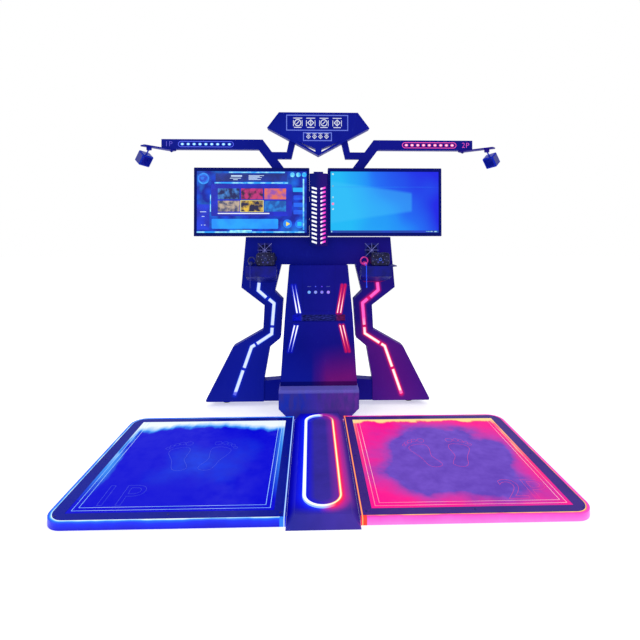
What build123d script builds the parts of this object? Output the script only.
from build123d import *
from math import atan2, cos, hypot, pi, radians, sin, sqrt, tan
import os

# Two-player dance rhythm machine, in millimetres. +Z is up and the players stand at -Y.
# The origin is on the floor, under the middle of the whole machine.
# X is symmetric: most pieces are drawn once for side = +1 and mirrored for side = -1.

# --- overall places -------------------------------------------------------------
PLATFORM_SIZE = 1200.0      # each platform is square
PLATFORM_REAR = 280.0       # rear edge of both dance platforms, clear of the pedestal
PLATFORM_FRONT = PLATFORM_REAR - PLATFORM_SIZE
CONSOLE_FRONT = PLATFORM_FRONT - 30.0
PLATFORM_HEIGHT = 40.0
CONSOLE_WIDTH = 373.0
CONSOLE_HEIGHT = 50.0
PEDESTAL_FRONT = 300.0
PEDESTAL_REAR = 890.0
PEDESTAL_WIDTH = 620.0
PEDESTAL_HEIGHT = 226.0
COLUMN_TOP = 1174.0
COLUMN_REAR = 870.0
LEG_FRONT = 560.0           # front face of the legs and of the upper panel
LEG_DEPTH = 100.0
UPPER_PANEL_TOP = 1402.0
LEG_BOTTOM = 45.0
DISPLAY_FRONT = 470.0
ARM_FRONT = 600.0
ARM_DEPTH = 60.0
ARM_BOTTOM = 2137.0
ARM_HEIGHT = 83.0
ARM_END = 1310.0

# --- walls and clearances -------------------------------------------------------
WALL = 3.0                  # folded sheet steel
BODY_GAP = 0.3              # between pieces on different bodies
SEAT_GAP = 0.2              # round a piece that drops into a pocket
RUNNING = 0.05              # radial clearance of a pin in its bore

PARTS = {}


def add(name, shape):
    """Keep a finished node."""
    PARTS[name] = shape


def mirrored(shape):
    """The same piece for the other player."""
    return mirror(shape, about=Plane.YZ)


def both(shape):
    """A right-hand piece and its mirror image as separate solids of one node."""
    return group([shape, mirrored(shape)])


def group(shapes):
    """Separate solids that share one node."""
    solids = []
    for shape in shapes:
        solids.extend(shape.solids())
    return Compound(children=solids)


def plate_xz(points, front, back):
    """A plate with an outline of (x, z) points, from y = front to y = back."""
    face = make_face(Plane.XZ.offset(-back) * Polyline(*points, close=True))
    return extrude(face, amount=back - front, dir=(0, -1, 0))


def plate_yz(points, left, right):
    """A plate with an outline of (y, z) points, from x = left to x = right."""
    face = make_face(Plane.YZ.offset(left) * Polyline(*points, close=True))
    return extrude(face, amount=right - left, dir=(1, 0, 0))


def plate_xy(points, bottom, top):
    """A plate with an outline of (x, y) points, from z = bottom to z = top."""
    face = make_face(Plane.XY.offset(bottom) * Polyline(*points, close=True))
    return extrude(face, amount=top - bottom, dir=(0, 0, 1))


def inset(points, distance):
    """The same closed outline moved inwards by a distance (outwards if negative)."""
    area = sum(a[0] * b[1] - b[0] * a[1] for a, b in zip(points, points[1:] + points[:1]))
    turn = 1 if area > 0 else -1
    moved = []
    count = len(points)
    for i in range(count):
        before, here, after = points[i - 1], points[i], points[(i + 1) % count]
        ax, ay = here[0] - before[0], here[1] - before[1]
        bx, by = after[0] - here[0], after[1] - here[1]
        la, lb = hypot(ax, ay), hypot(bx, by)
        nax, nay = -ay / la * turn, ax / la * turn
        nbx, nby = -by / lb * turn, bx / lb * turn
        scale = distance / (1 + nax * nbx + nay * nby)
        moved.append((here[0] + (nax + nbx) * scale, here[1] + (nay + nby) * scale))
    return moved


def strip(points, width):
    """The closed outline of a band of even width along an open line, mitred at its bends."""
    left, right = [], []
    last = len(points) - 1
    for i, (x, y) in enumerate(points):
        x0, y0 = points[max(i - 1, 0)]
        x1, y1 = points[min(i + 1, last)]
        into = atan2(y - y0, x - x0) if i > 0 else atan2(y1 - y, x1 - x)
        out = atan2(y1 - y, x1 - x) if i < last else into
        middle = atan2(sin(into) + sin(out), cos(into) + cos(out))
        reach = width / 2 / cos((out - into) / 2)
        left.append((x - sin(middle) * reach, y + cos(middle) * reach))
        right.append((x + sin(middle) * reach, y - cos(middle) * reach))
    return left + right[::-1]


def box(x0, x1, y0, y1, z0, z1):
    """A block between two corners."""
    return Pos((x0 + x1) / 2, (y0 + y1) / 2, (z0 + z1) / 2) * Box(x1 - x0, y1 - y0, z1 - z0)


def rod_y(x, z, radius, y0, y1):
    """A round bar along Y."""
    return Pos(x, (y0 + y1) / 2, z) * Rot(90, 0, 0) * Cylinder(radius, y1 - y0)


def rod_z(x, y, radius, z0, z1):
    """A round bar along Z."""
    return Pos(x, y, (z0 + z1) / 2) * Cylinder(radius, z1 - z0)


# ================================================================ dance platforms
RIM_WIDTH = 20.0
RIM_RADIUS = 100.0
PLATFORM_INNER = CONSOLE_WIDTH / 2 + 0.5
BAND_OUTER = 88.0           # from the outer edge to the panel, rim included
BAND_INNER = 62.0
BAND_FRONT = 70.0
BAND_REAR = 74.0
PANEL_THICK = 10.0
PANEL_BELOW = 1.0           # panel surface below the band
PLATFORM_FLOOR = 4.0        # bottom sheet of the platform
RIB = 14.0
GROOVE_WIDTH = 3.0
GROOVE_DEPTH = 1.0
GROOVE_INSETS = (20.0, 45.0)
INNER_LINE_WIDTH = 8.0
INNER_LINE_INSET = 4.0
INNER_LINE_DEPTH = 8.0

platform_outer = PLATFORM_INNER + PLATFORM_SIZE


def platform_plan(trim, radius, height):
    """The platform's block, trimmed on its three free edges, with two round outer corners."""
    block = box(PLATFORM_INNER, platform_outer - trim, PLATFORM_FRONT + trim,
                PLATFORM_REAR - trim, 0, height)
    corners = block.edges().filter_by(Axis.Z).sort_by(Axis.X)[-2:]
    return fillet(corners, radius)


def make_platform():
    """Frame, rim with inner light line, and floor panel of the right-hand platform."""
    frame = platform_plan(RIM_WIDTH, RIM_RADIUS - RIM_WIDTH, PLATFORM_HEIGHT)
    rim = platform_plan(0, RIM_RADIUS, PLATFORM_HEIGHT - 2)
    rim = rim - platform_plan(RIM_WIDTH, RIM_RADIUS - RIM_WIDTH, PLATFORM_HEIGHT)
    x0 = PLATFORM_INNER + BAND_INNER
    x1 = platform_outer - BAND_OUTER
    y0 = PLATFORM_FRONT + BAND_FRONT
    y1 = PLATFORM_REAR - BAND_REAR
    seat = PLATFORM_HEIGHT - PANEL_BELOW - PANEL_THICK
    frame -= box(x0 - SEAT_GAP, x1 + SEAT_GAP, y0 - SEAT_GAP, y1 + SEAT_GAP,
                 seat, PLATFORM_HEIGHT + 1)
    bays = 3
    bay_x = (x1 - x0 - (bays + 1) * RIB) / bays
    bay_y = (y1 - y0 - (bays + 1) * RIB) / bays
    for i in range(bays):
        for j in range(bays):
            bx = x0 + RIB + i * (bay_x + RIB)
            by = y0 + RIB + j * (bay_y + RIB)
            frame -= box(bx, bx + bay_x, by, by + bay_y, PLATFORM_FLOOR, seat + 1)
    panel = box(x0, x1, y0, y1, seat, seat + PANEL_THICK)
    top = seat + PANEL_THICK
    for depth in GROOVE_INSETS:
        near = y0 + depth
        panel -= box(x0 + depth, x0 + depth + GROOVE_WIDTH, near, y1 + 1, top - GROOVE_DEPTH, top + 1)
        panel -= box(x1 - depth - GROOVE_WIDTH, x1 - depth, near, y1 + 1, top - GROOVE_DEPTH, top + 1)
        panel -= box(x0 + depth, x1 - depth, near, near + GROOVE_WIDTH, top - GROOVE_DEPTH, top + 1)
    line_x = PLATFORM_INNER + INNER_LINE_INSET
    line_low = PLATFORM_HEIGHT - INNER_LINE_DEPTH
    line_ends = (PLATFORM_FRONT + RIM_WIDTH, PLATFORM_REAR - RIM_WIDTH)
    frame -= box(line_x, line_x + INNER_LINE_WIDTH, *line_ends, line_low, PLATFORM_HEIGHT + 1)
    line = box(line_x, line_x + INNER_LINE_WIDTH, *line_ends, line_low, PLATFORM_HEIGHT)
    return frame, group([rim, line]), panel


platform_frame, platform_rim, floor_panel = make_platform()
add("right_platform_frame", platform_frame)
add("left_platform_frame", mirrored(platform_frame))
add("platform_rims", both(platform_rim))
add("right_floor_panel", floor_panel)
add("left_floor_panel", mirrored(floor_panel))

# ================================================================ centre console
CONSOLE_BEVEL = 44.0
CONSOLE_WALL = 2.5
TUBE_WIDTH = 20.0           # racetrack light tube
TUBE_HEIGHT = 10.0
TUBE_OUTER = 216.0
TUBE_FRONT_GAP = 90.0
TUBE_REAR_GAP = 40.0


def console_solid(trim):
    """The console's block with sloping sides and a sloping front, trimmed by a wall."""
    half = CONSOLE_WIDTH / 2 - trim * 1.2
    top = CONSOLE_HEIGHT - trim
    flat = half - CONSOLE_BEVEL
    section = [(-half, -trim), (half, -trim), (flat, top), (-flat, top)]
    body = plate_xz(section, CONSOLE_FRONT + trim, PEDESTAL_FRONT + trim)
    low, high = CONSOLE_FRONT + trim, CONSOLE_FRONT + CONSOLE_BEVEL + trim
    side = [(low, -trim), (PEDESTAL_FRONT + trim, -trim), (PEDESTAL_FRONT + trim, top), (high, top)]
    return body & plate_yz(side, -half, half)


def racetrack(outer, width, y0, y1, z0, z1):
    """A flat closed loop with round ends, along Y."""
    middle = (y0 + y1) / 2
    length = y1 - y0
    face = SlotOverall(length, outer) - SlotOverall(length - 2 * width, outer - 2 * width)
    return Pos(0, middle, z0) * Rot(0, 0, 90) * extrude(face, amount=z1 - z0)


console = console_solid(0) - console_solid(CONSOLE_WALL)
tube = racetrack(TUBE_OUTER, TUBE_WIDTH, CONSOLE_FRONT + TUBE_FRONT_GAP,
                 PEDESTAL_FRONT - TUBE_REAR_GAP, CONSOLE_HEIGHT, CONSOLE_HEIGHT + TUBE_HEIGHT)
tube = fillet(tube.faces().sort_by(Axis.Z)[-1].edges(), TUBE_HEIGHT * 0.4)
add("centre_console", console)
add("console_light", tube)

# ================================================================ pedestal and mains inlet
PEDESTAL_CHAMFER = 85.0
PEDESTAL_BEVEL = 22.0       # band that slopes back along the foot of the front
INLET_X = 200.0
INLET_Z = 120.0
INLET_SIZE = (50.0, 60.0)
INLET_FLANGE = 7.0          # how far the flange reaches past the body
INLET_FLANGE_THICK = 3.0
INLET_DEPTH = 32.0
INLET_FIT = 0.3             # between the body and the hole in the sheet
SOCKET_SIZE = (28.0, 21.0)
SOCKET_DEPTH = 18.0
CONTACT_SIZE = (2.0, 5.0)
CONTACT_PLACES = ((0.0, 3.0), (-7.0, -3.0), (7.0, -3.0))


def pedestal_solid(trim):
    """The pedestal's block with clipped lower corners, trimmed by a wall."""
    half = PEDESTAL_WIDTH / 2 - trim
    top = PEDESTAL_HEIGHT - trim
    clip_top = PEDESTAL_CHAMFER + trim * (sqrt(2) - 1)
    foot = half - clip_top - trim
    outline = [(-foot, -trim), (foot, -trim), (half, clip_top),
               (half, top), (-half, top), (-half, clip_top)]
    body = plate_xz(outline, PEDESTAL_FRONT + trim, PEDESTAL_REAR - trim)
    front, rear = PEDESTAL_FRONT + trim, PEDESTAL_REAR - trim
    bevel = PEDESTAL_BEVEL
    side = [(front + bevel / 2, -trim), (rear, -trim), (rear, top),
            (front + bevel / 3, top), (front, top - bevel / 2), (front, bevel * 1.5)]
    return body & plate_yz(side, -half, half)


pedestal = pedestal_solid(0) - pedestal_solid(WALL)


def inlet_block(width, height, front, back):
    """A block centred on the mains inlet."""
    return box(INLET_X - width / 2, INLET_X + width / 2, front, back,
               INLET_Z - height / 2, INLET_Z + height / 2)


inlet_w, inlet_h = INLET_SIZE
body_w, body_h = inlet_w - 2 * INLET_FLANGE, inlet_h - 2 * INLET_FLANGE
inlet_hole = inlet_block(body_w + 2 * INLET_FIT, body_h + 2 * INLET_FIT,
                         PEDESTAL_REAR - 2 * WALL, PEDESTAL_REAR + 1)
add("pedestal", pedestal - inlet_hole)

inlet = inlet_block(inlet_w, inlet_h, PEDESTAL_REAR, PEDESTAL_REAR + INLET_FLANGE_THICK)
inlet += inlet_block(body_w, body_h, PEDESTAL_REAR - INLET_DEPTH, PEDESTAL_REAR + 1)
inlet -= inlet_block(*SOCKET_SIZE, PEDESTAL_REAR - SOCKET_DEPTH, PEDESTAL_REAR + INLET_FLANGE_THICK + 1)
contact_w, contact_h = CONTACT_SIZE
for dx, dz in CONTACT_PLACES:
    inlet += box(INLET_X + dx - contact_w / 2, INLET_X + dx + contact_w / 2,
                 PEDESTAL_REAR - SOCKET_DEPTH - 1, PEDESTAL_REAR - INLET_FLANGE_THICK,
                 INLET_Z + dz - contact_h / 2, INLET_Z + dz + contact_h / 2)
add("mains_inlet", inlet)

# ================================================================ base frame, feet, covers
BASE_TUBE = 60.0
BASE_FRONT = LEG_FRONT + LEG_DEPTH + 2.0
BASE_REAR = 935.0
BASE_OUTER = 880.0
FOOT_X = 775.0
FOOT_RADIUS = 32.5
FOOT_PAD = 12.0
FOOT_EDGE = 4.0
FOOT_STEM = 8.0
FOOT_NUT = 14.0             # corner radius of the lock nut
FOOT_NUT_THICK = 9.0
FOOT_NUT_LOW = 26.0
base_inner = PEDESTAL_WIDTH / 2
tube_top = LEG_BOTTOM + BASE_TUBE


def hollow_tube(x0, x1, y0, y1, z0, z1):
    """A rectangular tube with an even wall and closed ends."""
    outer = box(x0, x1, y0, y1, z0, z1)
    return outer - box(x0 + WALL, x1 - WALL, y0 + WALL, y1 - WALL, z0 + WALL, z1 - WALL)


base_side = hollow_tube(base_inner, BASE_OUTER, BASE_FRONT, BASE_FRONT + BASE_TUBE,
                        LEG_BOTTOM, tube_top)
base_side += hollow_tube(FOOT_X - BASE_TUBE / 2, FOOT_X + BASE_TUBE / 2,
                         BASE_FRONT + BASE_TUBE - WALL, BASE_REAR, LEG_BOTTOM, tube_top)
add("base_frame", both(base_side))

feet = []
for foot_y in (BASE_FRONT + BASE_TUBE / 2, BASE_REAR - BASE_TUBE / 2):
    foot = rod_z(FOOT_X, foot_y, FOOT_RADIUS, 0, FOOT_PAD)
    foot = chamfer(foot.edges().sort_by(Axis.Z)[-1], FOOT_EDGE)
    foot += rod_z(FOOT_X, foot_y, FOOT_STEM, FOOT_PAD, LEG_BOTTOM)
    foot += Pos(FOOT_X, foot_y, FOOT_NUT_LOW) * extrude(RegularPolygon(FOOT_NUT, 6), FOOT_NUT_THICK)
    feet += [foot, mirrored(foot)]
add("levelling_feet", group(feet))

# ================================================================ legs and upper panel
LEG_OUTER = [(601, UPPER_PANEL_TOP), (637, 985), (446, 838), (457, 635), (706, 494),
             (926, 60), (920, LEG_BOTTOM)]
LEG_INNER = [(451, LEG_BOTTOM), (451, 213), (401, 495), (314, 567), (293, 882),
             (362, 952), (308, COLUMN_TOP + 1)]
LIGHT_WIDTH = 27.0
LEG_LIGHT_LINES = [
    [(491, 1024), (498, 961), (433, 902)],
    [(408, 889), (367, 854), (382, 674)],
    [(384, 652), (386, 602), (506, 522)],
    [(524, 512), (552, 496), (612, 325)],
    [(623, 303), (691, 101)],
]
LIGHT_FLANGE = 6.0
LIGHT_PROUD = 2.0
SPEAKER_X = 444.0
SPEAKER_Z = 1294.0
SPEAKER_HOLE = 46.0
GRILLE_SIZE = 116.0
GRILLE_THICK = 6.0

leg_outline = [(0, UPPER_PANEL_TOP)] + LEG_OUTER + LEG_INNER + [(0, COLUMN_TOP + 1)]
leg_back = LEG_FRONT + LEG_DEPTH

leg = plate_xz(leg_outline, LEG_FRONT, leg_back)
leg -= plate_xz(inset(leg_outline, WALL), LEG_FRONT + WALL, leg_back + 1)
leg_lights = []
for line in LEG_LIGHT_LINES:
    slot = strip(line, LIGHT_WIDTH)
    leg -= plate_xz(inset(slot, -SEAT_GAP), LEG_FRONT - 1, LEG_FRONT + WALL + 1)
    lens = plate_xz(slot, LEG_FRONT - LIGHT_PROUD, LEG_FRONT + WALL + 1)
    lens += plate_xz(inset(slot, -LIGHT_FLANGE), LEG_FRONT + WALL, LEG_FRONT + WALL + 6)
    leg_lights.append(lens)
leg -= rod_y(SPEAKER_X, SPEAKER_Z, SPEAKER_HOLE, LEG_FRONT - 1, LEG_FRONT + WALL + 1)
add("right_leg", leg)
add("left_leg", mirrored(leg))
add("leg_lights", both(group(leg_lights)))
add("leg_back_panels", both(plate_xz(leg_outline, leg_back, leg_back + 2)))

# Speaker grille: a square frame with a four-armed guard and two rings over the hole.
half_grille = GRILLE_SIZE / 2
grille_front = LEG_FRONT - GRILLE_THICK
grille = box(SPEAKER_X - half_grille, SPEAKER_X + half_grille, grille_front, LEG_FRONT,
             SPEAKER_Z - half_grille, SPEAKER_Z + half_grille)
grille -= rod_y(SPEAKER_X, SPEAKER_Z, SPEAKER_HOLE, grille_front - 1, LEG_FRONT + 1)
guard = rod_y(SPEAKER_X, SPEAKER_Z, 12, grille_front, LEG_FRONT)
for radius in (24, 38):
    guard += (rod_y(SPEAKER_X, SPEAKER_Z, radius, grille_front + 2, LEG_FRONT)
              - rod_y(SPEAKER_X, SPEAKER_Z, radius - 4, grille_front, LEG_FRONT + 1))
for turn in range(0, 180, 45):
    bar = Box(2 * SPEAKER_HOLE + 4, GRILLE_THICK, 7)
    guard += Pos(SPEAKER_X, LEG_FRONT - GRILLE_THICK / 2, SPEAKER_Z) * Rot(0, turn, 0) * bar
add("speaker_grilles", both(grille + guard))

# Loudspeaker: basket, cone and magnet, screwed behind the front sheet.
speaker = rod_y(SPEAKER_X, SPEAKER_Z, 55, LEG_FRONT + WALL, LEG_FRONT + WALL + 5)
speaker += rod_y(SPEAKER_X, SPEAKER_Z, 38, LEG_FRONT + WALL + 5, LEG_FRONT + WALL + 30)
speaker += rod_y(SPEAKER_X, SPEAKER_Z, 30, LEG_FRONT + WALL + 30, LEG_FRONT + WALL + 48)
cone_depth = 24.0
cone = Pos(SPEAKER_X, LEG_FRONT + WALL + cone_depth / 2, SPEAKER_Z) * Rot(90, 0, 0)
speaker -= cone * Cone(12, 44, cone_depth)
speaker += Pos(SPEAKER_X, LEG_FRONT + WALL + cone_depth - 4, SPEAKER_Z) * Sphere(14)
add("speakers", both(speaker))

# Base covers: low folded beams from the legs to the pedestal.
cover_inner = base_inner + BODY_GAP
cover_outline = [(cover_inner, LEG_BOTTOM), (450.5, LEG_BOTTOM), (450.5, 213), (cover_inner, 224)]
cover_front = LEG_FRONT + 12
base_cover = plate_xz(cover_outline, cover_front, leg_back)
base_cover -= plate_xz(inset(cover_outline, WALL), cover_front + WALL, leg_back + 1)
add("base_covers", both(base_cover))

# ================================================================ column cabinet
COLUMN_HALF_TOP = 238.0
COLUMN_HALF_BOTTOM = 305.0
WAIST_TOP = 800.0
WAIST_BOTTOM = 745.0
WAIST_FRONT = 345.0
WAIST_DEPTH = 30.0
WAIST_HALF = 205.0
FRONT_AT_TOP = 470.0
FRONT_AT_BOTTOM = 400.0
FACET_HALF = (120.0, 132.0)
FACET_RAISE = 4.0
DOOR_OPENING = (-190.0, 190.0, PEDESTAL_HEIGHT + 54.0, 1040.0)

column_bottom = PEDESTAL_HEIGHT


def column_half(z):
    """Half the width of the column at a height."""
    share = (COLUMN_TOP - z) / (COLUMN_TOP - column_bottom)
    return COLUMN_HALF_TOP + (COLUMN_HALF_BOTTOM - COLUMN_HALF_TOP) * share


def column_solid(trim, below):
    """The column's block, trimmed by a wall and open below by a distance."""
    side = [(FRONT_AT_BOTTOM, column_bottom), (COLUMN_REAR, column_bottom),
            (COLUMN_REAR, COLUMN_TOP), (FRONT_AT_TOP, COLUMN_TOP),
            (WAIST_FRONT, WAIST_TOP), (WAIST_FRONT, WAIST_BOTTOM)]
    if trim:
        side = inset(side, trim)
    lowest = column_bottom - below
    side = [(y, lowest if z < column_bottom + trim + 1 else z) for y, z in side]
    half_top = column_half(COLUMN_TOP) - trim
    half_low = column_half(lowest) - trim
    front = [(-half_low, lowest), (half_low, lowest), (half_top, COLUMN_TOP - trim),
             (-half_top, COLUMN_TOP - trim)]
    body = plate_yz(side, -half_low, half_low)
    body = body & plate_xz(front, 0, COLUMN_REAR + 1)
    waist = box(-WAIST_HALF - trim, WAIST_HALF + trim, 0, WAIST_FRONT + WAIST_DEPTH + trim,
                WAIST_BOTTOM - trim, WAIST_TOP + trim)
    return body - waist


upper_rise = hypot(FRONT_AT_TOP - WAIST_FRONT, COLUMN_TOP - WAIST_TOP)
upper_lean = atan2(FRONT_AT_TOP - WAIST_FRONT, COLUMN_TOP - WAIST_TOP)
lower_lean = atan2(FRONT_AT_BOTTOM - WAIST_FRONT, WAIST_BOTTOM - column_bottom)
upper_face = Plane(origin=(0, WAIST_FRONT, WAIST_TOP), x_dir=(1, 0, 0),
                   z_dir=(0, -cos(upper_lean), sin(upper_lean)))
lower_face = Plane(origin=(0, WAIST_FRONT, WAIST_BOTTOM), x_dir=(1, 0, 0),
                   z_dir=(0, -cos(lower_lean), -sin(lower_lean)))


def on_face(plane, outline, low, high):
    """A plate on a sloping face: outline in the face's own axes, between two heights."""
    face = make_face(plane.offset(low) * Polyline(*outline, close=True))
    return extrude(face, amount=high - low, dir=plane.z_dir)


# Tapered light slashes in pairs, mirrored: (x, z) at the pointed end and at the wide end.
SLASH_WIDTH = 15.0
SLASH_STEP = 25.0
SLASH_SINK = 2.0
UPPER_SLASH = ((212.0, 1020.0), (170.0, 812.0))
LOWER_SLASH = ((240.0, 505.0), (190.0, 716.0))
BUTTON_X = (-76.0, -25.0, 25.0, 76.0)
BUTTON_Z = 966.0
BUTTON_RADIUS = 12.0
BUTTON_TRAVEL = 3.0
BUTTON_PROUD = 5.0
BUTTON_DEPTH = 14.0
BUTTON_SOFT = 2.5           # round edge of the cap
BARREL_WALL = 2.2
BARREL_LENGTH = 32.0
BEZEL_LIP = 2.0
BEZEL_THICK = 2.5

column = column_solid(0, 0)
facet = [(-FACET_HALF[0], 30), (FACET_HALF[0], 30), (FACET_HALF[1], upper_rise - 1),
         (-FACET_HALF[1], upper_rise - 1)]
column += on_face(upper_face, facet, -1, FACET_RAISE)
column -= column_solid(WALL, 20)
door_x0, door_x1, door_z0, door_z1 = DOOR_OPENING
column -= box(door_x0, door_x1, COLUMN_REAR - WALL - 1, COLUMN_REAR + 1, door_z0, door_z1)


def slash_outline(points, origin_z, lean, shift):
    """A long triangle from its pointed end to its wide end, in the face's own axes."""
    (tip_x, tip_z), (end_x, end_z) = points
    rise = cos(lean)
    tip = (tip_x - shift, (tip_z - origin_z) / rise)
    end = (end_x - shift, (end_z - origin_z) / rise)
    return [tip, (tip[0] - 2, tip[1]), (end[0] - SLASH_WIDTH / 2, end[1]),
            (end[0] + SLASH_WIDTH / 2, end[1])]


slashes = []
for plane, points, origin_z, lean in ((upper_face, UPPER_SLASH, WAIST_TOP, upper_lean),
                                      (lower_face, LOWER_SLASH, WAIST_BOTTOM, lower_lean)):
    for shift in (0.0, SLASH_STEP):
        outline = slash_outline(points, origin_z, lean, shift)
        for sign in (1, -1):
            shape = [(sign * x, v) for x, v in outline]
            column -= on_face(plane, shape, -SLASH_SINK, SLASH_SINK)
            slashes.append(on_face(plane, shape, -SLASH_SINK, 1.5))
add("column_lights", group(slashes))

button_v = (BUTTON_Z - WAIST_TOP) / cos(upper_lean)
bore_radius = BUTTON_RADIUS + BODY_GAP
barrel_radius = bore_radius + BARREL_WALL
bezel_radius = barrel_radius + BEZEL_LIP
housings = []
for number, button_x in enumerate(BUTTON_X, start=1):
    seat = upper_face * Pos(button_x, button_v, FACET_RAISE)
    column -= seat * Cylinder(barrel_radius + SEAT_GAP, 2 * BARREL_LENGTH)
    housing = Pos(0, 0, BEZEL_THICK / 2) * Cylinder(bezel_radius, BEZEL_THICK)
    housing += Pos(0, 0, -BARREL_LENGTH / 2) * Cylinder(barrel_radius, BARREL_LENGTH)
    housing -= Cylinder(bore_radius, 2 * (BUTTON_DEPTH - BUTTON_PROUD + BUTTON_TRAVEL + 1))
    housings.append(seat * housing)
    cap = Pos(0, 0, BUTTON_PROUD - BUTTON_DEPTH / 2) * Cylinder(BUTTON_RADIUS, BUTTON_DEPTH)
    cap = fillet(cap.edges().sort_by(Axis.Z)[-1], BUTTON_SOFT)
    add(f"push_button_{number}", seat * cap)
add("button_housings", group(housings))

# ================================================================ service door, hinges, lock
DOOR_THICK = 3.0
DOOR_OVERLAP = 14.0
HINGE_RADIUS = 7.0
HINGE_PIN = 3.0
HINGE_LENGTH = 90.0
HINGE_LEAF = 3.0
HINGE_PLACES = (420.0, 900.0)
LEAF_WIDTH = 16.0
LEAF_SPACE = 4.0            # from the hinge's axis to the edge of the leaf
DOOR_LEAF = 30.0
VENT_ROWS = 8
VENT_PITCH = 16.0
VENT_HEIGHT = 6.0
VENT_HALF = 110.0
VENT_LOW = 380.0
LOCK_X = 172.0
LOCK_Z = 660.0
LOCK_RADIUS = 9.0
LOCK_HEAD = 13.0
LOCK_HEAD_THICK = 3.7
LOCK_SPINDLE = 6.0
CAM_HALF = 7.0
CAM_THICK = 3.0
CAM_REACH = 32.0
CAM_GAP = 4.0
KEY_SLOT = (0.8, 5.0)

door_front = COLUMN_REAR + BODY_GAP + 0.2
door_back = door_front + DOOR_THICK
door_left = door_x0 - DOOR_OVERLAP
hinge_x = door_left - HINGE_RADIUS - 1
hinge_y = door_back + HINGE_RADIUS
door = box(door_left, door_x1 + DOOR_OVERLAP, door_front, door_back,
           door_z0 - DOOR_OVERLAP, door_z1 + DOOR_OVERLAP)
door -= rod_y(LOCK_X, LOCK_Z, LOCK_RADIUS + RUNNING, door_front - 1, door_back + 1)
for row in range(VENT_ROWS):
    vent_z = VENT_LOW + row * VENT_PITCH
    door -= box(-VENT_HALF, VENT_HALF, door_front - 1, door_back + 1, vent_z, vent_z + VENT_HEIGHT)
hinge_parts = []
third = HINGE_LENGTH / 3
leaf_x = hinge_x - LEAF_SPACE
for hinge_z in HINGE_PLACES:
    z0 = hinge_z - HINGE_LENGTH / 2
    z1, z2, z3 = z0 + third, z0 + 2 * third, z0 + HINGE_LENGTH
    door += rod_z(hinge_x, hinge_y, HINGE_RADIUS, z1 + BODY_GAP, z2 - BODY_GAP)
    door += box(hinge_x, door_left + DOOR_LEAF, door_back, door_back + HINGE_LEAF,
                z1 + BODY_GAP, z2 - BODY_GAP)
    door -= rod_z(hinge_x, hinge_y, HINGE_PIN + RUNNING, z0, z3)
    hinge = box(leaf_x - LEAF_WIDTH, leaf_x, COLUMN_REAR, COLUMN_REAR + HINGE_LEAF, z0, z3)
    for start, end in ((z0, z1), (z2, z3)):
        hinge += rod_z(hinge_x, hinge_y, HINGE_RADIUS, start, end)
        hinge += box(hinge_x - HINGE_RADIUS, leaf_x, COLUMN_REAR, hinge_y, start, end)
    hinge += rod_z(hinge_x, hinge_y, HINGE_PIN, z0 - 1, z3 + 1)
    hinge_parts.append(hinge)
add("door_hinges", group(hinge_parts))
add("rear_door", door)

cam_front = COLUMN_REAR - WALL - CAM_GAP - CAM_THICK
slot_half, slot_reach = KEY_SLOT
head_front = door_back + BODY_GAP
lock = rod_y(LOCK_X, LOCK_Z, LOCK_RADIUS, door_front - 6, door_back + 1)
lock += rod_y(LOCK_X, LOCK_Z, LOCK_HEAD, head_front, head_front + LOCK_HEAD_THICK)
lock += box(LOCK_X - CAM_HALF, LOCK_X + CAM_HALF, cam_front, cam_front + CAM_THICK,
            LOCK_Z - CAM_HALF, LOCK_Z + CAM_REACH)
lock += rod_y(LOCK_X, LOCK_Z, LOCK_SPINDLE, cam_front, door_front - 5)
lock -= box(LOCK_X - slot_half, LOCK_X + slot_half, head_front + 1, head_front + LOCK_HEAD_THICK + 1,
            LOCK_Z - slot_reach, LOCK_Z + slot_reach)
add("door_lock", lock)

# ================================================================ cooling fan
FAN_Z = 1115.0
FAN_SIZE = 80.0
FAN_DEPTH = 25.0
FAN_BORE = 37.5
ROTOR_RADIUS = 35.5
HUB_RADIUS = 16.0
SHAFT_RADIUS = 2.5
MOTOR_DEPTH = 5.0
SPOKE_SIZE = (3.0, 6.0)
BLADE_COUNT = 7
BLADE_SIZE = (1.6, 20.0)
BLADE_PITCH = 35.0
FINGER_RINGS = (12.0, 20.0, 28.0, 36.0)
FINGER_SLOT = 4.0
FINGER_BRIDGE = 6.0
fan_back = COLUMN_REAR - WALL
fan_front = fan_back - FAN_DEPTH
for ring in FINGER_RINGS:
    slots = rod_y(0, FAN_Z, ring, fan_back - 1, COLUMN_REAR + 1)
    slots -= rod_y(0, FAN_Z, ring - FINGER_SLOT, fan_back - 2, COLUMN_REAR + 2)
    for turn in (45, 135):
        slots -= Pos(0, COLUMN_REAR, FAN_Z) * Rot(0, turn, 0) * Box(FAN_SIZE, 4 * WALL, FINGER_BRIDGE)
    column -= slots
add("column_cover", column)

half_fan = FAN_SIZE / 2
fan = box(-half_fan, half_fan, fan_front, fan_back, FAN_Z - half_fan, FAN_Z + half_fan)
fan -= rod_y(0, FAN_Z, FAN_BORE, fan_front - 1, fan_back + 1)
motor = rod_y(0, FAN_Z, HUB_RADIUS, fan_back - MOTOR_DEPTH, fan_back)
spoke_depth, spoke_width = SPOKE_SIZE
for turn in (0, 60, 120):
    spoke = Box(2 * FAN_BORE + 2, spoke_depth, spoke_width)
    motor += Pos(0, fan_back - spoke_depth / 2, FAN_Z) * Rot(0, turn, 0) * spoke
fan += motor
fan -= rod_y(0, FAN_Z, SHAFT_RADIUS + RUNNING, fan_back - MOTOR_DEPTH - 1, fan_back + 1)
add("cooling_fan", fan)

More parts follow.
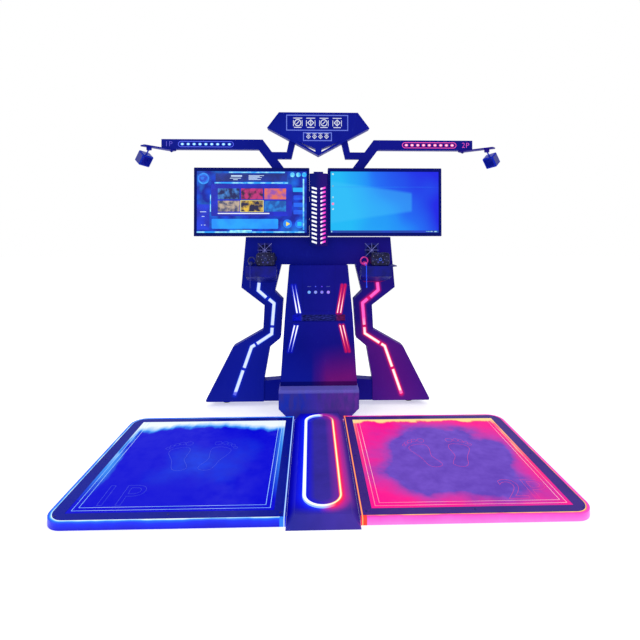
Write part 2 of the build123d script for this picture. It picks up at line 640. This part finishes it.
rotor_back = fan_back - MOTOR_DEPTH - BODY_GAP
rotor = rod_y(0, FAN_Z, HUB_RADIUS, fan_front + 1, rotor_back)
rotor += rod_y(0, FAN_Z, SHAFT_RADIUS, rotor_back - 1, fan_back - 1)
blade_thick, blade_depth = BLADE_SIZE
for blade in range(BLADE_COUNT):
    vane = Pos((HUB_RADIUS + ROTOR_RADIUS) / 2 - 1, 0, 0) * Rot(BLADE_PITCH, 0, 0)
    vane = vane * Box(ROTOR_RADIUS - HUB_RADIUS + 2, blade_thick, blade_depth)
    rotor += Pos(0, (fan_front + rotor_back) / 2, FAN_Z) * Rot(0, blade * 360 / BLADE_COUNT, 0) * vane
add("fan_rotor", rotor)

# ================================================================ computer and power supply
COMPUTER_X = (-200.0, -20.0)
COMPUTER_Y = (440.0, 800.0)
COMPUTER_HEIGHT = 340.0
SUPPLY_X = (40.0, 190.0)
SUPPLY_Y = (560.0, 760.0)
SUPPLY_HEIGHT = 60.0
CASE_VENT = 5.0
CASE_VENT_DEPTH = 4.0
CASE_VENT_MARGIN = 20.0
COMPUTER_VENTS = 10
SUPPLY_VENTS = 12

case_floor = PEDESTAL_HEIGHT
computer = box(*COMPUTER_X, *COMPUTER_Y, case_floor, case_floor + COMPUTER_HEIGHT)
computer = fillet(computer.edges().filter_by(Axis.Y), 4)
vent_x = (COMPUTER_X[0] + CASE_VENT_MARGIN, COMPUTER_X[1] - CASE_VENT_MARGIN)
for row in range(COMPUTER_VENTS):
    vent_z = case_floor + 75 + row * 12
    computer -= box(*vent_x, COMPUTER_Y[1] - CASE_VENT_DEPTH, COMPUTER_Y[1] + 1,
                    vent_z, vent_z + CASE_VENT)
add("computer", computer)
supply = box(*SUPPLY_X, *SUPPLY_Y, case_floor, case_floor + SUPPLY_HEIGHT)
vent_x = (SUPPLY_X[0] + CASE_VENT_MARGIN, SUPPLY_X[1] - CASE_VENT_MARGIN)
for row in range(SUPPLY_VENTS):
    vent_y = SUPPLY_Y[0] + CASE_VENT_MARGIN + row * 14
    supply -= box(*vent_x, vent_y, vent_y + CASE_VENT, case_floor + SUPPLY_HEIGHT - CASE_VENT_DEPTH,
                  case_floor + SUPPLY_HEIGHT + 1)
add("power_supply", supply)

# ================================================================ spine light housing
SPINE_WIDTH = 148.0
SPINE_LOW = 1330.0
SPINE_HIGH = 1920.0
SPINE_POINT = 440.0
SPINE_SIDE = 475.0
SPINE_BACK = 555.0
CHEVRON_ROWS = 14
CHEVRON_PITCH = 33.5
CHEVRON_FIRST = 1362.0
CHEVRON_X = (15.0, 56.0)
CHEVRON_THICK = 15.0
CHEVRON_RISE = 13.0
SPINE_WALL = 2.5

half_spine = SPINE_WIDTH / 2
spine_plan = [(-half_spine, SPINE_SIDE), (0, SPINE_POINT), (half_spine, SPINE_SIDE),
              (half_spine, SPINE_BACK), (-half_spine, SPINE_BACK)]
spine_core = plate_xy(inset(spine_plan, SPINE_WALL), SPINE_LOW + SPINE_WALL, SPINE_HIGH - SPINE_WALL)
spine = plate_xy(spine_plan, SPINE_LOW, SPINE_HIGH) - spine_core
skin = plate_xy(inset(spine_plan, -1.0), SPINE_LOW + 5, SPINE_HIGH - 5) - spine_core
chevrons = []
for row in range(CHEVRON_ROWS):
    z = CHEVRON_FIRST + row * CHEVRON_PITCH
    near, far = CHEVRON_X
    for sign in (1, -1):
        bar = plate_xz([(sign * near, z - CHEVRON_RISE), (sign * far, z),
                        (sign * far, z + CHEVRON_THICK),
                        (sign * near, z - CHEVRON_RISE + CHEVRON_THICK)], 400, 500)
        spine -= bar
        chevrons.append(skin & bar)
add("spine_housing", spine)
add("spine_lights", group(chevrons))

# ================================================================ mast and display rails
MAST_HALF = 40.0
MAST_FRONT = 590.0
MAST_BACK = 722.0
MAST_TOP = 1950.0
RAIL_Z = (1520.0, 1760.0)
RAIL_HEIGHT = 40.0
DISPLAY_WIDTH = 930.0
DISPLAY_HEIGHT = 555.0
DISPLAY_DEPTH = 60.0
DISPLAY_INNER = 75.0
DISPLAY_LOW = 1410.0
SCREEN_WIDTH = 885.0
SCREEN_HEIGHT = 498.0
SCREEN_THICK = 9.0
SCREEN_SINK = 3.0

display_x = DISPLAY_INNER + DISPLAY_WIDTH / 2
display_z = DISPLAY_LOW + DISPLAY_HEIGHT / 2
display_back = DISPLAY_FRONT + DISPLAY_DEPTH
mast_low_front = leg_back + 2
mast_low = [(mast_low_front, COLUMN_TOP), (MAST_BACK, COLUMN_TOP), (MAST_BACK, MAST_TOP),
            (MAST_FRONT, MAST_TOP), (MAST_FRONT, UPPER_PANEL_TOP + 2),
            (mast_low_front, UPPER_PANEL_TOP + 2)]
mast = plate_yz(mast_low, -MAST_HALF, MAST_HALF)
mast -= plate_yz(inset(mast_low, WALL), -MAST_HALF + WALL, MAST_HALF - WALL)
for rail_z in RAIL_Z:
    reach = display_x + 120
    rail = box(-reach, reach, SPINE_BACK, ARM_FRONT - 0.5, rail_z - RAIL_HEIGHT / 2,
               rail_z + RAIL_HEIGHT / 2)
    rail -= box(-reach + WALL, reach - WALL, SPINE_BACK + WALL, ARM_FRONT - 0.5 - WALL,
                rail_z - RAIL_HEIGHT / 2 + WALL, rail_z + RAIL_HEIGHT / 2 - WALL)
    mast += rail
    for sign in (1, -1):
        for dx in (-100, 100):
            x = sign * (display_x + dx)
            mast += box(x - 20, x + 20, display_back, SPINE_BACK + 1, rail_z - 15, rail_z + 15)
add("display_mount", mast)

# ================================================================ displays
display = box(DISPLAY_INNER, DISPLAY_INNER + DISPLAY_WIDTH, DISPLAY_FRONT, display_back,
              DISPLAY_LOW, DISPLAY_LOW + DISPLAY_HEIGHT)
display = fillet(display.edges().filter_by(Axis.Y), 6)
half_w, half_h = SCREEN_WIDTH / 2, SCREEN_HEIGHT / 2
pocket = DISPLAY_FRONT + SCREEN_SINK + SCREEN_THICK
display -= box(display_x - half_w - SEAT_GAP, display_x + half_w + SEAT_GAP, DISPLAY_FRONT - 1,
               pocket, display_z - half_h - SEAT_GAP, display_z + half_h + SEAT_GAP)
display -= box(display_x - half_w + 15, display_x + half_w - 15, DISPLAY_FRONT, display_back - WALL,
               display_z - half_h + 15, display_z + half_h - 15)
screen = box(display_x - half_w, display_x + half_w, DISPLAY_FRONT + SCREEN_SINK, pocket,
             display_z - half_h, display_z + half_h)
add("right_display", display)
add("left_display", mirrored(display))
add("display_screens", both(screen))

# ================================================================ arms
STRUT_SLOPE = 0.75          # sideways run for each unit of rise
STRUT_INNER = (340.0, 2050.0)
STRUT_OUTER = (439.0, 2050.0)
ARM_LIGHT_X = (709.0, 1172.0)
ARM_LIGHT_HEIGHT = 50.0
ARM_RING = 5.0
ARM_GROOVE = 2.0
LAMP_COUNT = 9
LAMP_SIZE = (34.0, 22.0)
PIVOT_X = 1235.0
STUD_RADIUS = 5.0
BAR_THICK = 10.0

arm_top = ARM_BOTTOM + ARM_HEIGHT
arm_z = ARM_BOTTOM + ARM_HEIGHT / 2


def strut_x(start, z):
    """Sideways place of a strut's edge at a height."""
    return start[0] + (z - start[1]) * STRUT_SLOPE


def strut_z(start, x):
    """Height of a strut's edge at a sideways place."""
    return start[1] + (x - start[0]) / STRUT_SLOPE


arm_outline = [(strut_x(STRUT_INNER, arm_top), arm_top), (ARM_END, arm_top), (ARM_END, ARM_BOTTOM),
               (strut_x(STRUT_OUTER, ARM_BOTTOM), ARM_BOTTOM),
               (MAST_HALF, strut_z(STRUT_OUTER, MAST_HALF)),
               (MAST_HALF, strut_z(STRUT_INNER, MAST_HALF))]
arm_back = ARM_FRONT + ARM_DEPTH
arm = plate_xz(arm_outline, ARM_FRONT, arm_back)
arm -= plate_xz(inset(arm_outline, WALL), ARM_FRONT + WALL, arm_back - WALL)


def arm_slot(x0, x1, height, front, back):
    """A block with round ends along the arm."""
    face = SlotOverall(x1 - x0, height)
    return Pos((x0 + x1) / 2, back, arm_z) * Rot(90, 0, 0) * extrude(face, amount=back - front)


ring_x0, ring_x1 = ARM_LIGHT_X
ring_cut = (arm_slot(ring_x0, ring_x1, ARM_LIGHT_HEIGHT, ARM_FRONT - 1, ARM_FRONT + ARM_GROOVE)
            - arm_slot(ring_x0 + ARM_RING, ring_x1 - ARM_RING, ARM_LIGHT_HEIGHT - 2 * ARM_RING,
                       ARM_FRONT - 2, ARM_FRONT + ARM_GROOVE + 1))
arm -= ring_cut
arm_lights = [arm_slot(ring_x0, ring_x1, ARM_LIGHT_HEIGHT, ARM_FRONT - 1, ARM_FRONT + ARM_GROOVE)
              - arm_slot(ring_x0 + ARM_RING, ring_x1 - ARM_RING, ARM_LIGHT_HEIGHT - 2 * ARM_RING,
                         ARM_FRONT - 2, ARM_FRONT + ARM_GROOVE + 1)]
lamp_w, lamp_h = LAMP_SIZE
lamp_span = ring_x1 - ring_x0 - 2 * ARM_RING - 2 * 14 - lamp_w
for index in range(LAMP_COUNT):
    x = ring_x0 + ARM_RING + 14 + lamp_w / 2 + index * lamp_span / (LAMP_COUNT - 1)
    lamp = box(x - lamp_w / 2, x + lamp_w / 2, ARM_FRONT - 1.5, ARM_FRONT + WALL + 2,
               arm_z - lamp_h / 2, arm_z + lamp_h / 2)
    arm -= box(x - lamp_w / 2 - SEAT_GAP, x + lamp_w / 2 + SEAT_GAP, ARM_FRONT - 1,
               ARM_FRONT + WALL, arm_z - lamp_h / 2 - SEAT_GAP, arm_z + lamp_h / 2 + SEAT_GAP)
    lamp += box(x - lamp_w / 2 - 4, x + lamp_w / 2 + 4, ARM_FRONT + WALL, ARM_FRONT + WALL + 3,
                arm_z - lamp_h / 2 - 4, arm_z + lamp_h / 2 + 4)
    arm_lights.append(lamp)
pivot_y = ARM_FRONT + ARM_DEPTH / 2
bar_top = ARM_BOTTOM - BODY_GAP
bar_low = bar_top - BAR_THICK
arm += rod_z(PIVOT_X, pivot_y, STUD_RADIUS, bar_low - 12, ARM_BOTTOM + 1)
nut = Pos(PIVOT_X, pivot_y, bar_low - BODY_GAP - 8) * extrude(RegularPolygon(11, 6), 8)
arm += nut
add("right_arm", arm)
add("left_arm", mirrored(arm))
add("arm_lights", both(group(arm_lights)))

# ================================================================ sign
SIGN_FRONT = 560.0
SIGN_BACK = 650.0
SIGN_WALL = 2.5
SIGN_BORDER = 12.0
SIGN_RAISE = 4.0
SIGN_CORNERS = [(0.0, 2080.0), (427.0, 2310.0), (329.0, 2440.0)]
SIGN_SLOT = [(188.0, 2206.0), (26.0, 2140.0), (26.0, 2112.0)]
SIGN_WINDOWS = [(-268.0, 248.0, 2288.0, 2420.0), (-128.0, 112.0, 2202.0, 2274.0)]
BRACKET_Z = (2058.0, 2116.0)
BRACKET_DEPTH = 40.0

sign_outline = SIGN_CORNERS + [(-x, z) for x, z in SIGN_CORNERS[:0:-1]]
sign = plate_xz(sign_outline, SIGN_FRONT, SIGN_BACK)
core = plate_xz(inset(sign_outline, SIGN_WALL), SIGN_FRONT + SIGN_WALL, SIGN_BACK - SIGN_WALL)
border = plate_xz(sign_outline, SIGN_FRONT - SIGN_RAISE, SIGN_FRONT)
border -= plate_xz(inset(sign_outline, SIGN_BORDER), SIGN_FRONT - SIGN_RAISE - 1, SIGN_FRONT + 1)
sign += border
for sign_side in (1, -1):
    slot = [(sign_side * x, z) for x, z in SIGN_SLOT]
    core -= plate_xz(inset(slot, -SIGN_WALL), SIGN_FRONT, SIGN_BACK)
    sign -= plate_xz(slot, SIGN_FRONT - 10, SIGN_BACK + 10)
for x0, x1, z0, z1 in SIGN_WINDOWS:
    frame = box(x0, x1, SIGN_FRONT - SIGN_RAISE, SIGN_FRONT, z0, z1)
    frame -= box(x0 + 7, x1 - 7, SIGN_FRONT - SIGN_RAISE - 1, SIGN_FRONT + 1, z0 + 7, z1 - 7)
    sign += frame
add("sign_box", sign - core)


def sign_edge_z(x):
    """Height of the sign's lower edge at a sideways place."""
    (x0, z0), (x1, z1) = SIGN_CORNERS[0], SIGN_CORNERS[1]
    return z0 + (z1 - z0) * (x - x0) / (x1 - x0)


bracket_low, bracket_high = BRACKET_Z
bracket = plate_xz([(196, sign_edge_z(196)), (227, bracket_low),
                    (strut_x(STRUT_INNER, bracket_low), bracket_low),
                    (strut_x(STRUT_INNER, bracket_high), bracket_high),
                    (267, bracket_high), (246, sign_edge_z(246))],
                   ARM_FRONT, ARM_FRONT + BRACKET_DEPTH)
add("sign_brackets", both(bracket))

# ================================================================ sensor bars and sensors
BAR_WIDTH = 60.0
BAR_LENGTH = 210.0          # pivot to ball
BAR_TIP = 60.0              # plate beyond the ball
BAR_CORNER = 8.0
BAR_SWING = {1: 43.0, -1: 53.0}
BALL_RADIUS = 14.0
BALL_SEAT = BALL_RADIUS + BODY_GAP
CUP_WALL = 6.0
CUP_LENGTH = BALL_RADIUS + 10.0
MOUTH_FLARE = (4.7, -1.7, 10.0)    # below and above the ball's radius, and height
STEM_RADIUS = 6.0
SENSOR_TILT = 16.0          # bottom tilted to the rear
SENSOR_LEAN = 30.0          # bottom leaning outwards
SENSOR_TURN = 45.0
SENSOR_SIZE = (92.0, 92.0, 94.0)
SENSOR_ROUND = 8.0
SPIGOT_RADIUS = 4.0
SPIGOT_LENGTH = 14.0
STEM_DROP = BALL_RADIUS + 31.0     # ball centre to the sensor's top
STEM_FLANGE = (12.0, 4.0)
ball_z = bar_low - BALL_RADIUS


def make_sensor_set(side):
    """Bar, ball stem and sensor under one arm end, in place."""
    swing = Rot(0, 0, -side * BAR_SWING[side])
    reach = side * BAR_LENGTH
    x0, x1 = sorted((side * -BAR_WIDTH / 2, reach + side * BAR_TIP))
    bar = box(x0, x1, -BAR_WIDTH / 2, BAR_WIDTH / 2, bar_low, bar_top)
    bar = fillet(bar.edges().filter_by(Axis.Z), BAR_CORNER)
    bar += rod_z(reach, 0, BALL_SEAT + CUP_WALL, bar_low - CUP_LENGTH, bar_low + 1)
    bar -= Pos(reach, 0, ball_z) * Sphere(BALL_SEAT)
    flare_low, flare_high, flare_depth = MOUTH_FLARE
    mouth = Cone(BALL_SEAT + flare_low, BALL_SEAT + flare_high, flare_depth)
    bar -= Pos(reach, 0, bar_low - CUP_LENGTH + flare_depth / 2 - 2) * mouth
    bar -= rod_z(0, 0, STUD_RADIUS + RUNNING, bar_low - 1, bar_top + 1)
    pivot = Pos(side * PIVOT_X, pivot_y, 0) * swing
    bar = pivot * bar
    turn = radians(-side * BAR_SWING[side])
    ball = (side * PIVOT_X + reach * cos(turn), pivot_y + reach * sin(turn), ball_z)
    lean = Pos(*ball) * Rot(SENSOR_TILT, -side * SENSOR_LEAN, 0)
    stem = Sphere(BALL_RADIUS) + rod_z(0, 0, STEM_RADIUS, -STEM_DROP + BODY_GAP, 0)
    stem += rod_z(0, 0, STEM_FLANGE[0], -STEM_DROP + BODY_GAP, -STEM_DROP + STEM_FLANGE[1])
    stem += rod_z(0, 0, SPIGOT_RADIUS, -STEM_DROP - SPIGOT_LENGTH, -STEM_DROP + 1)
    wide, deep, tall = SENSOR_SIZE
    sensor = Pos(0, 0, -STEM_DROP - tall / 2) * Rot(0, 0, SENSOR_TURN) * Box(wide, deep, tall)
    sensor = fillet(sensor.edges(), SENSOR_ROUND)
    sensor -= rod_z(0, 0, SPIGOT_RADIUS + RUNNING, -STEM_DROP - SPIGOT_LENGTH - 1, -STEM_DROP + 1)
    return bar, lean * stem, lean * sensor, ball


for side, word in ((1, "right"), (-1, "left")):
    bar, stem, sensor, ball = make_sensor_set(side)
    add(f"{word}_sensor_bar", bar)
    add(f"{word}_sensor_stem", stem)
    add(f"{word}_sensor", sensor)
    print(word, "ball centre", [round(c, 1) for c in ball])

# ================================================================ trays
TRAY_INNER = 335.0
TRAY_OUTER = 575.0
TRAY_FRONT = 360.0
TRAY_TOP = 1176.0
TRAY_EDGE = 82.0            # height of the front face
TRAY_ROOT_LOW = 1027.0
TRAY_ROOT = (386.0, 523.0)
TRAY_WING = 628.0

tray_side = [(TRAY_FRONT, TRAY_TOP), (TRAY_FRONT, TRAY_TOP - TRAY_EDGE),
             (LEG_FRONT, TRAY_ROOT_LOW), (LEG_FRONT, TRAY_TOP)]
tray_plan = [(TRAY_INNER, TRAY_FRONT), (TRAY_OUTER, TRAY_FRONT), (TRAY_OUTER, TRAY_FRONT + 110),
             (TRAY_ROOT[1], LEG_FRONT), (TRAY_ROOT[0], LEG_FRONT), (TRAY_INNER, TRAY_FRONT + 110)]
tray = plate_yz(tray_side, TRAY_INNER, TRAY_OUTER) & plate_xy(tray_plan, 900, 1300)
inner_side = inset(tray_side, WALL)
inner_side = [(LEG_FRONT + 1 if y > LEG_FRONT - WALL - 1 else y, z) for y, z in inner_side]
inner_plan = inset(tray_plan, WALL)
inner_plan = [(x, LEG_FRONT + 1 if y > LEG_FRONT - WALL - 1 else y) for x, y in inner_plan]
tray -= (plate_yz(inner_side, TRAY_INNER, TRAY_OUTER) & plate_xy(inner_plan, 900, 1300))
wing = plate_xy([(TRAY_OUTER, TRAY_FRONT + 10), (TRAY_WING, TRAY_FRONT + 60),
                 (TRAY_WING - 8, LEG_FRONT), (TRAY_OUTER, LEG_FRONT)], TRAY_TOP - 8, TRAY_TOP)
add("headset_trays", group([tray, wing, mirrored(tray)]))

# ================================================================ headsets
HEADSET_WIDTH = 160.0
HEADSET_HEIGHT = 104.0
HEADSET_DEPTH = 96.0
HEADSET_FRONT = 368.0
HEADSET_ROUND = 20.0
HEADSET_CAVITY = (126.0, 76.0, 58.0)
STRAP_THICK = 3.0
STRAP_HEIGHT = 30.0
STRAP_REACH = 82.0
STRAP_PIN = 5.0
HEADSET_X = {1: 488.0, -1: -420.0}
HANDSET_X = {1: 371.0, -1: -538.0}

headset_low = TRAY_TOP + BODY_GAP
headset_back = HEADSET_FRONT + HEADSET_DEPTH
headset_z = headset_low + HEADSET_HEIGHT / 2


def make_headset(x):
    """A visor with a face cavity at its back and a pivot boss on each side, and its strap."""
    half = HEADSET_WIDTH / 2 - 6
    shell = box(x - half, x + half, HEADSET_FRONT, headset_back, headset_low,
                headset_low + HEADSET_HEIGHT)
    shell = fillet(shell.edges().filter_by(Axis.Y), HEADSET_ROUND)
    shell = fillet(shell.faces().sort_by(Axis.Y)[0].edges(), 12)
    wide, tall, deep = HEADSET_CAVITY
    shell -= box(x - wide / 2, x + wide / 2, headset_back - deep, headset_back + 1,
                 headset_z - tall / 2, headset_z + tall / 2)
    nose = Pos(x, headset_back, headset_low) * Rot(90, 0, 0) * Cylinder(16, 60)
    shell -= nose
    for eye in (-32, 32):
        shell += rod_y(x + eye, headset_z, 21, headset_back - deep - 1, headset_back - deep + 8)
    pivot_at = headset_back - 22
    strap = None
    for sign in (1, -1):
        boss = Pos(x + sign * (half + 3), pivot_at, headset_z) * Rot(0, 90, 0)
        shell += boss * Cylinder(STRAP_PIN, 8)
        start, end = sorted((x + sign * (half + BODY_GAP), x + sign * (half + BODY_GAP + STRAP_THICK)))
        side_band = box(start, end, pivot_at - 12, headset_back + STRAP_REACH,
                        headset_z - STRAP_HEIGHT / 2, headset_z + STRAP_HEIGHT / 2)
        side_band -= boss * Cylinder(STRAP_PIN + RUNNING, 30)
        strap = side_band if strap is None else strap + side_band
    outer = half + BODY_GAP + STRAP_THICK
    strap += box(x - outer, x + outer, headset_back + STRAP_REACH - STRAP_THICK,
                 headset_back + STRAP_REACH, headset_z - STRAP_HEIGHT / 2,
                 headset_z + STRAP_HEIGHT / 2)
    corners = strap.edges().filter_by(Axis.Z).sort_by(Axis.Y)
    outside = [e for e in corners if e.center().Y > headset_back + STRAP_REACH - 0.01]
    strap = fillet(outside, 2.5)
    return shell, strap


for side, word in ((1, "right"), (-1, "left")):
    shell, strap = make_headset(HEADSET_X[side])
    add(f"{word}_headset", shell)
    add(f"{word}_headset_strap", strap)

# ================================================================ hand controllers
GRIP_RADIUS = 15.0
GRIP_FRONT = 384.0
GRIP_REAR = 470.0
RING_RADIUS = 29.0
RING_TUBE = 6.0
RING_Y = 472.0
TRIGGER_WIDTH = 10.0
TRIGGER_LENGTH = 26.0
TRIGGER_TOP = 7.0           # height above the grip's axis at the pivot end
TRIGGER_PIN = 1.6

grip_z = TRAY_TOP + BODY_GAP + GRIP_RADIUS
ring_z = TRAY_TOP + BODY_GAP + RING_RADIUS + RING_TUBE
trigger_y = GRIP_REAR - 22.0
trigger_z = grip_z + TRIGGER_TOP


def make_controller(x):
    """A round grip with a tracking ring standing at its rear end, and a trigger on top."""
    grip = rod_y(x, grip_z, GRIP_RADIUS, GRIP_FRONT, GRIP_REAR)
    grip = fillet(grip.edges().sort_by(Axis.Y)[0], 6)
    ring = Pos(x, RING_Y, ring_z) * Rot(90, 0, 0) * Torus(RING_RADIUS, RING_TUBE)
    grip += ring
    half = TRIGGER_WIDTH / 2
    grip -= box(x - half - BODY_GAP, x + half + BODY_GAP, trigger_y - TRIGGER_LENGTH - 3,
                trigger_y + 4, grip_z + 1, grip_z + GRIP_RADIUS + 1)
    pin = Pos(x, trigger_y, trigger_z) * Rot(0, 90, 0)
    grip += pin * Cylinder(TRIGGER_PIN, TRIGGER_WIDTH + 2)
    lever = plate_yz([(trigger_y + 3, trigger_z - 3), (trigger_y + 3, trigger_z + 3),
                      (trigger_y - TRIGGER_LENGTH, trigger_z + 13),
                      (trigger_y - TRIGGER_LENGTH, trigger_z + 8),
                      (trigger_y - 6, trigger_z - 3)], x - half, x + half)
    lever -= pin * Cylinder(TRIGGER_PIN + RUNNING, 30)
    return grip, lever


for side, word in ((1, "right"), (-1, "left")):
    grip, lever = make_controller(HANDSET_X[side])
    add(f"{word}_controller", grip)
    add(f"{word}_trigger", lever)

# Wrist strap: a soft cord from the grip's front end, over the tray's edge, hanging free.
# The points are (x offset, y, z), chosen by hand.
CORD_RADIUS = 3.5
STRAP_ROUTE = [(0, 384, 1191.3), (0, 367, 1191.3), (1.5, 350, 1181), (3, 343.5, 1158),
               (2, 341, 1124), (3.5, 342.5, 1086), (2.5, 341, 1048), (4, 342, 1016)]


def cord(points, radius):
    """A tube of straight runs joined by arcs as large as its runs allow."""
    runs = [Vector(*b) - Vector(*a) for a, b in zip(points, points[1:])]
    radii = []
    for first, second in zip(runs, runs[1:]):
        turn = radians(first.get_angle(second))
        radii.append(0.45 * min(first.length, second.length) / tan(turn / 2))
    path = FilletPolyline(*points, radius=radii)
    start = Plane(origin=points[0], z_dir=runs[0])
    tube = sweep(start * Circle(radius), path=path)
    area = pi * radius ** 2
    print("cord length", round(path.length, 1), "radii", [round(r) for r in radii],
          "volume ratio", round(tube.volume / (area * path.length), 4))
    return tube


for side, word in ((1, "right"), (-1, "left")):
    x = HANDSET_X[side]
    add(f"{word}_wrist_strap", cord([(x + dx, y, z) for dx, y, z in STRAP_ROUTE], CORD_RADIUS))

# ================================================================ write the nodes
os.makedirs("parts", exist_ok=True)
for name, shape in PARTS.items():
    export_step(shape, f"parts/{name}.step")
print(len(PARTS), "nodes")
